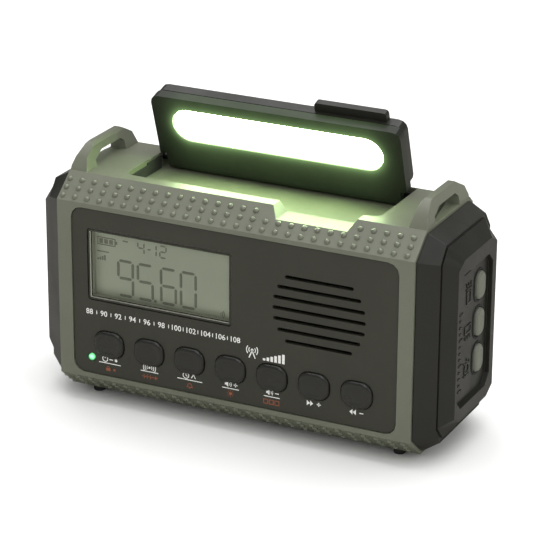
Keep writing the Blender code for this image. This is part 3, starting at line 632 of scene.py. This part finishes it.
def key(name, node, at, look, size, foot, flange, top, round_by, dish):
    """A pressed key on its own body: flange, straight wall, a rounded rim and a shallow dish in its face."""
    def row(inset, w, grow=1.0):
        return [(u, v, w) for u, v in key_outline(*size, inset, grow)]

    rows = [row(-FLANGE_REACH, foot), row(-FLANGE_REACH, flange), row(0.0, flange)]
    rows.append(row(0.0, (flange + top - round_by) / 2))
    rim = round_by * 1.15
    for i in range(RIM_STEPS + 1):
        angle = math.radians(90 * i / RIM_STEPS)
        rows.append(row(rim * (1 - math.cos(angle)), top - round_by * (1 - math.sin(angle))))
    for grow, drop in ((0.93, 0.06), (0.84, 0.4), (0.7, 0.78), (0.45, 0.96), (0.2, 1.0)):
        rows.append(row(rim, top - dish * drop, grow))
    shape = bmesh.new()
    rings(shape, rows)
    obj = finish_mesh(name, shape, at, name, look)
    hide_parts(node)
    soft_edges(obj, 60)


for index, label in enumerate(BUTTONS):
    place = FRONT @ Matrix.Translation((BUTTON_FIRST + BUTTON_PITCH * index, BUTTON_HEIGHT, 0))
    key("key_" + label, "button_" + label, place, "key", (6.0, 5.0, 4.2), -3.8, -2.8, 0.8, 1.15, 0.3)
for number, z in enumerate(SIDE_BUTTON_Z, 1):
    place = RIGHT @ Matrix.Translation((SIDE_BUTTON_Y, z, 0))
    key(f"side_key_{number}", f"side_button_{number}", place, "grey_key", SIDE_KEY, -3.5, -2.5, 1.5, 1.2, 0.2)


# ---- display ----
SEGMENTS = {"0": "abcdef", "1": "bc", "2": "abged", "4": "fgbc", "5": "afgcd", "6": "afgedc", "9": "abcdfg",
            "-": "g"}


def digit(shape, text, u, v, width, height, thick):
    """A seven-segment digit of six-sided bars: a on top, b to f clockwise from there, g in the middle."""
    gap = thick * 0.35
    half = thick / 2
    right, middle, top = u + width, v + height / 2, v + height
    ends = {"a": ((u, top), (right, top)), "b": ((right, middle), (right, top)),
            "c": ((right, v), (right, middle)), "d": ((u, v), (right, v)), "e": ((u, v), (u, middle)),
            "f": ((u, middle), (u, top)), "g": ((u, middle), (right, middle))}
    for name in SEGMENTS[text]:
        (u0, v0), (u1, v1) = ends[name]
        if v0 == v1:
            points = [(u0 + gap, v0), (u0 + gap + half, v0 + half), (u1 - gap - half, v0 + half),
                      (u1 - gap, v0), (u1 - gap - half, v0 - half), (u0 + gap + half, v0 - half)]
        else:
            points = [(u0, v0 + gap), (u0 + half, v0 + gap + half), (u0 + half, v1 - gap - half),
                      (u0, v1 - gap), (u0 - half, v1 - gap - half), (u0 - half, v0 + gap + half)]
        prism(shape, points, *LCD_INK)


def block(shape, u0, u1, v0, v1, low, high):
    prism(shape, [(u0, v0), (u1, v0), (u1, v1), (u0, v1)], low, high)


def display():
    shape = bmesh.new()
    for text, u in (("9", -47.4), ("5", -39.4), ("6", -30.0), ("0", -22.0)):
        digit(shape, text, u, 31.0, 5.9, 13.2, 1.0)
    block(shape, -32.9, -31.9, 30.6, 31.6, *LCD_INK)  # decimal point
    for text, u in (("4", -39.3), ("2", -30.4)):
        digit(shape, text, u, 48.2, 2.5, 4.4, 0.55)
    digit(shape, "-", -35.6, 48.2, 1.8, 4.4, 0.5)
    digit(shape, "1", -34.4, 48.2, 2.5, 4.4, 0.55)
    battery = [(-55.6, 49.2), (-48.6, 49.2), (-48.6, 51.9), (-55.6, 51.9)]
    stroke(shape, battery, 0.35, *LCD_INK, True)
    for u in (-55.0, -53.0, -51.0):
        block(shape, u, u + 1.5, 49.7, 51.4, *LCD_INK)
    block(shape, -48.4, -47.7, 50.0, 51.1, *LCD_INK)
    block(shape, -45.4, -43.4, 51.6, 52.1, *LCD_INK)
    block(shape, -56.0, -51.2, 46.3, 46.7, *LCD_INK)
    for i in range(4):  # signal bars
        block(shape, -55.9 + 0.9 * i, -55.3 + 0.9 * i, 43.2, 43.8 + 0.45 * i, *LCD_INK)
    for i in range(3):  # sound waves
        stroke(shape, arc(-6.6, 31.0, 0.6 + 0.7 * i, -45, 45, 6), 0.28, *LCD_INK)
    finish_mesh("lcd_segments", shape, FRONT, "housing", "segment", smooth=False)


display()


# ---- printed marks on the panel ----
def line(shape, points, width=0.32, closed=False):
    stroke(shape, points, width, *PRINT, closed)


def dot(shape, u, v, radius):
    prism(shape, circle(radius, 16, u, v), *PRINT)


def icon_power(shape, u, v):
    line(shape, arc(u, v, 1.05, 125, 415, 16))
    line(shape, [(u, v + 0.2), (u, v + 1.35)])


def icon_waves(shape, u, v):
    dot(shape, u, v, 0.4)
    for side in (0, 180):
        for radius in (1.0, 1.75, 2.5):
            line(shape, arc(u, v, radius, side - 38, side + 38, 8), 0.28)


def icon_clock(shape, u, v):
    line(shape, circle(1.15, 20, u, v), 0.3, True)
    line(shape, [(u, v + 0.75), (u, v), (u + 0.6, v - 0.3)], 0.26)


def icon_speaker(shape, u, v):
    prism(shape, [(u - 1.3, v - 0.4), (u - 0.75, v - 0.4), (u, v - 1.1), (u, v + 1.1), (u - 0.75, v + 0.4),
                  (u - 1.3, v + 0.4)], *PRINT)
    for radius in (0.7, 1.3):
        line(shape, arc(u, v, radius, -42, 42, 6), 0.26)


def icon_arrows(shape, u, v, way):
    for shift in (-0.8, 0.5):
        x = u + shift
        prism(shape, [(x - 0.6 * way, v + 1.0), (x + 0.6 * way, v), (x - 0.6 * way, v - 1.0)][::way], *PRINT)


def sign(shape, u, v, plus):
    line(shape, [(u - 0.75, v), (u + 0.75, v)], 0.34)
    if plus:
        line(shape, [(u, v - 0.75), (u, v + 0.75)], 0.34)


BUTTON_X = [BUTTON_FIRST + BUTTON_PITCH * i for i in range(len(BUTTONS))]


def white_marks():
    """Signs under the keys, rules beneath them, and a mast with signal bars."""
    shape = bmesh.new()
    x = BUTTON_X
    v = 6.75
    icon_power(shape, x[0] - 1.9, v)
    sign(shape, x[0] + 0.6, v, False)
    dot(shape, x[0] + 2.6, v, 0.55)
    icon_waves(shape, x[1], v)
    icon_clock(shape, x[2] - 1.5, v)
    line(shape, [(x[2] + 0.7, v - 0.7), (x[2] + 1.5, v + 0.8), (x[2] + 2.3, v - 0.7)], 0.3)
    for i, plus in ((3, True), (4, False)):
        icon_speaker(shape, x[i] - 0.9, v)
        sign(shape, x[i] + 2.0, v, plus)
    for i, plus in ((5, True), (6, False)):
        icon_arrows(shape, x[i] - 1.3, v - 0.9, 1 if plus else -1)
        sign(shape, x[i] + 1.9, v - 0.9, plus)
    for i, half in enumerate((4.5, 3.6, 5.0, 3.3, 3.1)):
        line(shape, [(x[i] - half, 5.15), (x[i] + half, 5.15)], 0.3)
    for i in range(6):  # signal bars
        block(shape, 12.6 + 1.5 * i, 13.6 + 1.5 * i, 18.6, 19.4 + 0.55 * i, *PRINT)
    line(shape, [(7.2, 18.6), (8.4, 21.4), (9.6, 18.6)], 0.42)  # mast
    dot(shape, 8.4, 21.6, 0.55)
    for side in (0, 180):
        for radius in (1.3, 2.2):
            line(shape, arc(8.4, 21.6, radius, side - 40, side + 40, 8), 0.34)
    finish_mesh("panel_marks_white", shape, FRONT, "housing", "white_ink", smooth=False)


def orange_marks():
    """The keys' second functions, under the rules."""
    shape = bmesh.new()
    x = BUTTON_X
    v = 3.1
    block(shape, x[0] - 1.6, x[0] + 0.2, v - 0.9, v + 0.2, *PRINT)  # padlock
    line(shape, arc(x[0] - 0.7, v + 0.2, 0.55, 0, 180, 8), 0.26)
    dot(shape, x[0] + 1.9, v - 0.2, 0.5)
    line(shape, [(x[1] - 3.0, v), (x[1] + 2.4, v)], 0.28)  # sweep
    prism(shape, [(x[1] + 2.2, v + 0.75), (x[1] + 3.4, v), (x[1] + 2.2, v - 0.75)], *PRINT)
    for u in (-2.2, -0.9, 0.4):
        line(shape, [(x[1] + u, v - 0.8), (x[1] + u, v + 0.8)], 0.26)
    bell = arc(x[2], v - 0.1, 0.8, 0, 180, 8) + [(x[2] - 1.1, v - 0.7), (x[2] + 1.1, v - 0.7)]
    line(shape, bell, 0.26, True)
    dot(shape, x[2], v - 1.0, 0.3)
    dot(shape, x[3], v + 0.1, 0.6)  # backlight
    for turn in range(0, 360, 45):
        c, s = math.cos(math.radians(turn)), math.sin(math.radians(turn))
        line(shape, [(x[3] + 0.9 * c, v + 0.1 + 0.9 * s), (x[3] + 1.3 * c, v + 0.1 + 1.3 * s)], 0.24)
    for u in (-3.2, -1.0, 1.2):
        line(shape, [(x[4] + u, v - 0.8), (x[4] + u + 1.6, v - 0.8), (x[4] + u + 1.6, v + 0.8),
                     (x[4] + u, v + 0.8)], 0.28, True)
    finish_mesh("panel_marks_orange", shape, FRONT, "housing", "orange_ink", smooth=False)


def scale_numbers():
    """A tuning scale: numbers with a tick between each two."""
    shape = bmesh.new()
    numbers = range(88, 109, 2)
    first, last = -57.2, 1.6
    gaps = len(numbers) - 1
    for i, number in enumerate(numbers):
        at = first + (last - first) * i / gaps
        curve = bpy.data.curves.new("number", "FONT")
        curve.body = str(number)
        curve.size = 2.9
        curve.align_x = "CENTER"
        curve.resolution_u = 3
        curve.extrude = 0.04
        curve.offset = 0.02
        holder = bpy.data.objects.new("number", curve)
        bpy.context.scene.collection.objects.link(holder)
        graph = bpy.context.evaluated_depsgraph_get()
        mesh = bpy.data.meshes.new_from_object(holder.evaluated_get(graph))
        bpy.data.objects.remove(holder)
        mesh.transform(Matrix.Translation((at, 23.3, -PANEL_FACE + 0.02)))
        shape.from_mesh(mesh)
        bpy.data.meshes.remove(mesh)
        if i < gaps:
            u = at + (last - first) / gaps / 2
            block(shape, u - 0.14, u + 0.14, 23.6, 25.0, *PRINT)
    finish_mesh("tuning_scale", shape, FRONT, "housing", "white_ink", smooth=False)


white_marks()
orange_marks()
scale_numbers()


# ---- speaker mesh behind the slots ----
def speaker_mesh():
    """Two layers of thin bars that cross behind the slots."""
    shape = bmesh.new()
    u, v = SPEAKER_AT
    reach, pitch, bar = 18.6, 0.9, 0.16
    back, middle, front = -3.05, -2.9, -2.75
    for i in range(-20, 21):
        offset = i * pitch
        half = math.sqrt(reach ** 2 - offset ** 2)
        block(shape, u + offset - bar, u + offset + bar, v - half, v + half, back, middle)
        block(shape, u - half, u + half, v + offset - bar, v + offset + bar, middle, front)
    finish_mesh("speaker_mesh", shape, FRONT, "housing", "oxide", smooth=False)


speaker_mesh()


# ---- lid ----
def recess_pads():
    """Thin dark sheets in the rubber look on the end walls of the lid's bay, stepped towards the hinge, that
    darken those walls.
    """
    shape = bmesh.new()
    outline = [(16.6, 67.6), (41.5, 67.6), (41.5, 72.6), (31.0, 72.6), (31.0, 71.6), (16.6, 71.6)]
    inside, outside = 49.35, 49.85
    for side in (-1, 1):
        near, far = sorted((side * inside, side * outside))
        lower = [shape.verts.new((near, y, z)) for y, z in outline]
        upper = [shape.verts.new((far, y, z)) for y, z in outline]
        shape.faces.new(lower)
        shape.faces.new(upper[::-1])
        for i in range(len(outline)):
            j = (i + 1) % len(outline)
            shape.faces.new((lower[i], upper[i], upper[j], lower[j]))
    # dark sheets that darken the bay's end walls
    finish_mesh("recess_pads", shape, TO_WORLD, "housing", "rubber", smooth=False)


recess_pads()


def lid_details():
    """A lip about the lamp, the solar cells' bars and fingers, and ribs on the finger tab."""
    shape = bmesh.new()
    lip = [rounded(-LAMP_HALF - r, LAMP_HALF + r, LAMP_AT - r, LAMP_AT + r, r, 10) for r in (8.1, 7.7)]
    band(shape, *lip, -3.55, -3.3)
    # the lip takes the bezel look and so its painted green glow near the lamp
    soft_edges(finish_mesh("lamp_rim", shape, LID, "lid", "bezel"))
    shape = bmesh.new()
    cells, panel_half = 6, 43.0
    foot, bar_top, finger_top = 4.58, 4.64, 4.62
    for i in range(cells + 1):
        u = -panel_half + 2 * panel_half / cells * i
        block(shape, u - 0.35, u + 0.35, -26.4, -4.8, foot, bar_top)
    for i in range(27):
        v = -26.2 + 0.82 * i
        block(shape, -42.9, 42.9, v - 0.045, v + 0.045, foot, finger_top)
    finish_mesh("solar_busbars", shape, LID, "lid", "busbar", smooth=False)
    shape = bmesh.new()
    for v in (-30.9, -31.9):
        block(shape, 16.0, 40.1, v - 0.22, v + 0.22, 4.5, 4.95)
    finish_mesh("tab_ribs", shape, LID, "lid", "black")


lid_details()


# ---- torch ----
def turned(profile, count):
    """Rings of a turned shape from pairs of radius and height."""
    return [[(u, v, w) for u, v in circle(r, count)] for r, w in profile]


def torch_details():
    y, z = TORCH_AT
    place = LEFT @ Matrix.Translation((-y, z, 0))
    shape = bmesh.new()
    ring = [(14.05, -0.38), (14.05, 0.0), (13.7, 0.22), (13.1, 0.22), (12.5, -0.1), (12.5, -0.38)]
    loops = turned(ring, 64)
    rings(shape, loops + loops[:1], cap=False)
    soft_edges(finish_mesh("torch_ring", shape, place, "housing", "chrome"), 50)
    shape = bmesh.new()
    loops = turned([(1.9, -14.0), (1.9, -12.9), (1.75, -12.2), (1.3, -11.6), (0.7, -11.3)], 32)
    rings(shape, loops + [[(0, 0, -11.2)]])
    finish_mesh("torch_led", shape, place, "housing", "phosphor")


torch_details()


# ---- screws, crank and rear details ----
SCREWS_AT = ((-64, 3.5), (64, 3.5), (-64, 56.5), (64, 56.5))
SCREW_SIDES = 48
EDGE_SLIP = 1e-6  # lets a ray through a corner count as a hit


def cross(reach, half):
    return [(half, reach), (-half, reach), (-half, half), (-reach, half), (-reach, -half), (-half, -half),
            (-half, -reach), (half, -reach), (half, -half), (reach, -half), (reach, half), (half, half)]


def reach_of(outline, c, s):
    """How far a ray from the middle along (c, s) goes before it meets the outline."""
    best = None
    for (u0, v0), (u1, v1) in zip(outline, outline[1:] + outline[:1]):
        du, dv = u1 - u0, v1 - v0
        det = c * dv - s * du
        if abs(det) < 1e-9:
            continue
        t = (u0 * dv - v0 * du) / det
        k = (u0 * s - v0 * c) / det
        if t > 0 and -EDGE_SLIP <= k <= 1 + EDGE_SLIP and (best is None or t < best):
            best = t
    return best


def screw(name, at, body, radius, foot, top, dig=0.85):
    """A pan head with a cross recess that is dig deep."""
    outline = cross(radius * 0.55, radius * 0.13)
    turns = [2 * math.pi * i / SCREW_SIDES for i in range(SCREW_SIDES)]
    points = [(math.cos(t), math.sin(t)) for t in turns]
    inner = [reach_of(outline, c, s) for c, s in points]
    shape = bmesh.new()
    rings(shape, [
        [(c * radius, s * radius, foot) for c, s in points],
        [(c * radius, s * radius, top - dig * 0.6) for c, s in points],
        [(c * radius * 0.9, s * radius * 0.9, top - dig * 0.18) for c, s in points],
        [(c * radius * 0.7, s * radius * 0.7, top) for c, s in points],
        [(c * t, s * t, top) for (c, s), t in zip(points, inner)],
        [(c * t * 0.94, s * t * 0.94, top - dig * 0.9) for (c, s), t in zip(points, inner)],
        [(0, 0, top - dig)],
    ])
    soft_edges(finish_mesh(name, shape, at, body, "steel"), 38)


for number, (x, z) in enumerate(SCREWS_AT, 1):
    screw(f"rear_screw_{number}", REAR @ Matrix.Translation((-x, z, 0)), "housing", 2.5, -1.35, -0.25)
screw("crank_screw", REAR @ Matrix.Translation((-CRANK_AT[0], CRANK_AT[1], 0)), "crank", 3.2, 9.0, 9.68, 0.34)


def rear_details():
    """Raised marks on the battery door and the port cover."""
    shape = bmesh.new()
    for i in range(5):  # finger ribs on the battery door
        u = 22.0 + 1.6 * i
        block(shape, u - 0.4, u + 0.4, 19.2, 23.4, -0.2, 0.35)
    prism(shape, [(35, 19.8), (39, 19.8), (37, 22.6)], -0.2, 0.3)
    finish_mesh("battery_door_ribs", shape, REAR, "battery_hatch", "olive")
    shape = bmesh.new()
    block(shape, -34.0, -22.0, 11.9, 12.7, -0.2, 0.4)  # pull lip of the port cover
    bolt = [(-27.2, 11.0), (-29.4, 8.2), (-28.2, 8.2), (-28.8, 5.9), (-26.6, 8.8), (-27.8, 8.8)]
    prism(shape, bolt, -0.2, 0.2)
    finish_mesh("port_cover_mark", shape, REAR, "port_flap", "rubber")


rear_details()


# ---- raised icons and wells in the field of the side keys ----
def side_icons():
    shape = bmesh.new()
    prism(shape, rounded(14.4, 28.2, 9.2, 55.4, 2.6, 4), -0.15, 0.3)
    soft_edges(finish_mesh("side_strip", shape, RIGHT, "housing", "black"))
    shape = bmesh.new()
    low, high = 0.2, 0.62

    def bar(points, width=0.5, closed=False):
        stroke(shape, points, width, low, high, closed)

    u, v = 24.3, SIDE_BUTTON_Z[0]  # torch
    bar([(u - 1.6, v - 3.0), (u + 1.6, v - 3.0), (u + 1.6, v + 1.2), (u - 1.6, v + 1.2)], 0.5, True)
    bar([(u - 2.6, v + 2.2), (u + 2.6, v + 2.2)], 0.6)
    for shift in (-1.7, 0.0, 1.7):
        bar([(u + shift, v + 3.1), (u + shift * 1.25, v + 4.5)], 0.45)
    v = SIDE_BUTTON_Z[1]  # lamp in its lid
    bar([(u - 2.6, v - 0.4), (u + 2.6, v - 0.4), (u + 2.6, v + 2.2), (u - 2.6, v + 2.2)], 0.5, True)
    for shift in (-1.7, 0.0, 1.7):
        bar([(u + shift, v - 1.4), (u + shift * 1.25, v - 2.8)], 0.45)
    v = SIDE_BUTTON_Z[2]  # alarm
    bar(arc(u, v, 1.7, 0, 180, 12) + [(u - 1.7, v - 1.8), (u + 1.7, v - 1.8)], 0.5, True)
    bar([(u - 2.6, v - 2.8), (u + 2.6, v - 2.8)], 0.6)
    for turn in (40, 90, 140):
        c, s = math.cos(math.radians(turn)), math.sin(math.radians(turn))
        bar([(u + 2.6 * c, v + 2.6 * s), (u + 3.6 * c, v + 3.6 * s)], 0.45)
    u = 18.2  # level scale along the strip
    for i in range(13):
        half = 1.7 if i % 4 == 0 else 0.9
        bar([(u - 1.7, 13.0 + 2.4 * i), (u - 1.7 + 2 * half, 13.0 + 2.4 * i)], 0.5)
    finish_mesh("side_icons", shape, RIGHT, "housing", "key")
    shape = bmesh.new()
    for z in SIDE_BUTTON_Z:
        loops = [key_outline(*(side + gap for side in SIDE_KEY)) for gap in (1.15, 0.4)]
        outer, inner = ([(u + SIDE_BUTTON_Y, v + z) for u, v in loop] for loop in loops)
        band(shape, outer, inner, -0.15, 0.22)
    soft_edges(finish_mesh("side_key_wells", shape, RIGHT, "housing", "rubber"))


side_icons()


# ---- stage, light and camera ----
FLOOR_HALF = 15.0  # metres
FLOOR_MIRRORED = (0.34, 0.33, 0.30)  # dark gloss mirrors a dimmer floor than the eye sees
SKY_COLOUR = (1.0, 1.0, 0.99)
SKY_LIGHT, SKY_MIRRORED, SKY_SEEN = 0.78, 0.18, 0.95  # strength as light, in mirrors and as backdrop


def floor():
    """A pale floor that glows faintly far off, where it meets the sky."""
    n = Nodes("floor")
    cloud = n.range(n.noise(3.0, 3.0), 0.3, 0.7)
    mirrored = n.node("ShaderNodeLightPath").outputs["Is Glossy Ray"]
    pale = n.mix(cloud, (0.86, 0.86, 0.855), (0.88, 0.88, 0.875))
    away = n.vector("LENGTH", n.place).outputs["Value"]
    n.set(Base_Color=n.mix(mirrored, pale, FLOOR_MIRRORED), Roughness=0.85,
          Emission_Strength=n.math("MULTIPLY", n.range(away, 0.5, 2.5), 0.28))
    n.glow(SKY_COLOUR)
    shape = bmesh.new()
    bmesh.ops.create_grid(shape, x_segments=8, y_segments=8, size=FLOOR_HALF)
    mesh = bpy.data.meshes.new("floor")
    shape.to_mesh(mesh)
    shape.free()
    mesh.materials.append(n.material)
    obj = bpy.data.objects.new("floor", mesh)
    bpy.context.scene.collection.objects.link(obj)


def studio():
    """A pale surround, dimmer where it is mirrored."""
    sky = bpy.data.worlds.new("studio")
    sky.use_nodes = True
    nodes, links = sky.node_tree.nodes, sky.node_tree.links
    background = nodes["Background"]
    background.inputs["Color"].default_value = (*SKY_COLOUR, 1.0)
    paths = nodes.new("ShaderNodeLightPath")
    mirrored = nodes.new("ShaderNodeMapRange")
    mirrored.inputs["To Min"].default_value = SKY_LIGHT
    mirrored.inputs["To Max"].default_value = SKY_MIRRORED
    level = nodes.new("ShaderNodeMapRange")
    level.inputs["To Max"].default_value = SKY_SEEN
    links.new(paths.outputs["Is Glossy Ray"], mirrored.inputs["Value"])
    links.new(paths.outputs["Is Camera Ray"], level.inputs["Value"])
    links.new(mirrored.outputs[0], level.inputs["To Min"])
    links.new(level.outputs[0], background.inputs["Strength"])
    bpy.context.scene.world = sky


def softbox(name, at, size, power):
    """A rectangular light turned to the middle of the part."""
    data = bpy.data.lights.new(name, "AREA")
    data.shape = "RECTANGLE"
    data.size, data.size_y = size
    data.energy = power
    obj = bpy.data.objects.new(name, data)
    obj.location = at
    obj.rotation_mode = "QUATERNION"
    obj.rotation_quaternion = (LIT_POINT - Vector(at)).to_track_quat("-Z", "Y")
    bpy.context.scene.collection.objects.link(obj)


LIT_POINT = Vector((0, 0, 0.05))
AZIMUTH, ELEVATION, ROLL = 25.971, 21.44, 0.381  # degrees
DISTANCE, SHIFT_RIGHT, SHIFT_UP = 921.81, 15.791, 45.173  # millimetres from the design frame's origin
FOCAL, SENSOR = 169.49, 36.0


def camera():
    a, e, roll = (math.radians(x) for x in (AZIMUTH, ELEVATION, ROLL))
    back = Vector((math.sin(a) * math.cos(e), -math.cos(a) * math.cos(e), math.sin(e)))
    right = Vector((math.cos(a), math.sin(a), 0.0))
    up = back.cross(right)
    at = back * DISTANCE + right * SHIFT_RIGHT + up * SHIFT_UP
    turned_right = right * math.cos(roll) + up * math.sin(roll)
    turned_up = up * math.cos(roll) - right * math.sin(roll)
    data = bpy.data.cameras.new("camera")
    data.lens = FOCAL
    data.sensor_width = SENSOR
    data.clip_start, data.clip_end = 0.05, 100.0
    obj = bpy.data.objects.new("camera", data)
    turn = Matrix((turned_right, turned_up, back)).transposed().to_4x4()
    obj.matrix_world = Matrix.Translation(world(*at)) @ turn
    bpy.context.scene.collection.objects.link(obj)
    bpy.context.scene.camera = obj


floor()
studio()
softbox("key_light", (0.45, -1.1, 1.6), (1.2, 1.0), 6.5)
softbox("top_light", (-0.05, 0.45, 1.9), (2.4, 2.0), 36.0)
softbox("fill_light", (1.5, -0.3, 0.8), (0.8, 1.0), 3.0)
camera()
bpy.context.scene.view_settings.view_transform = "Standard"
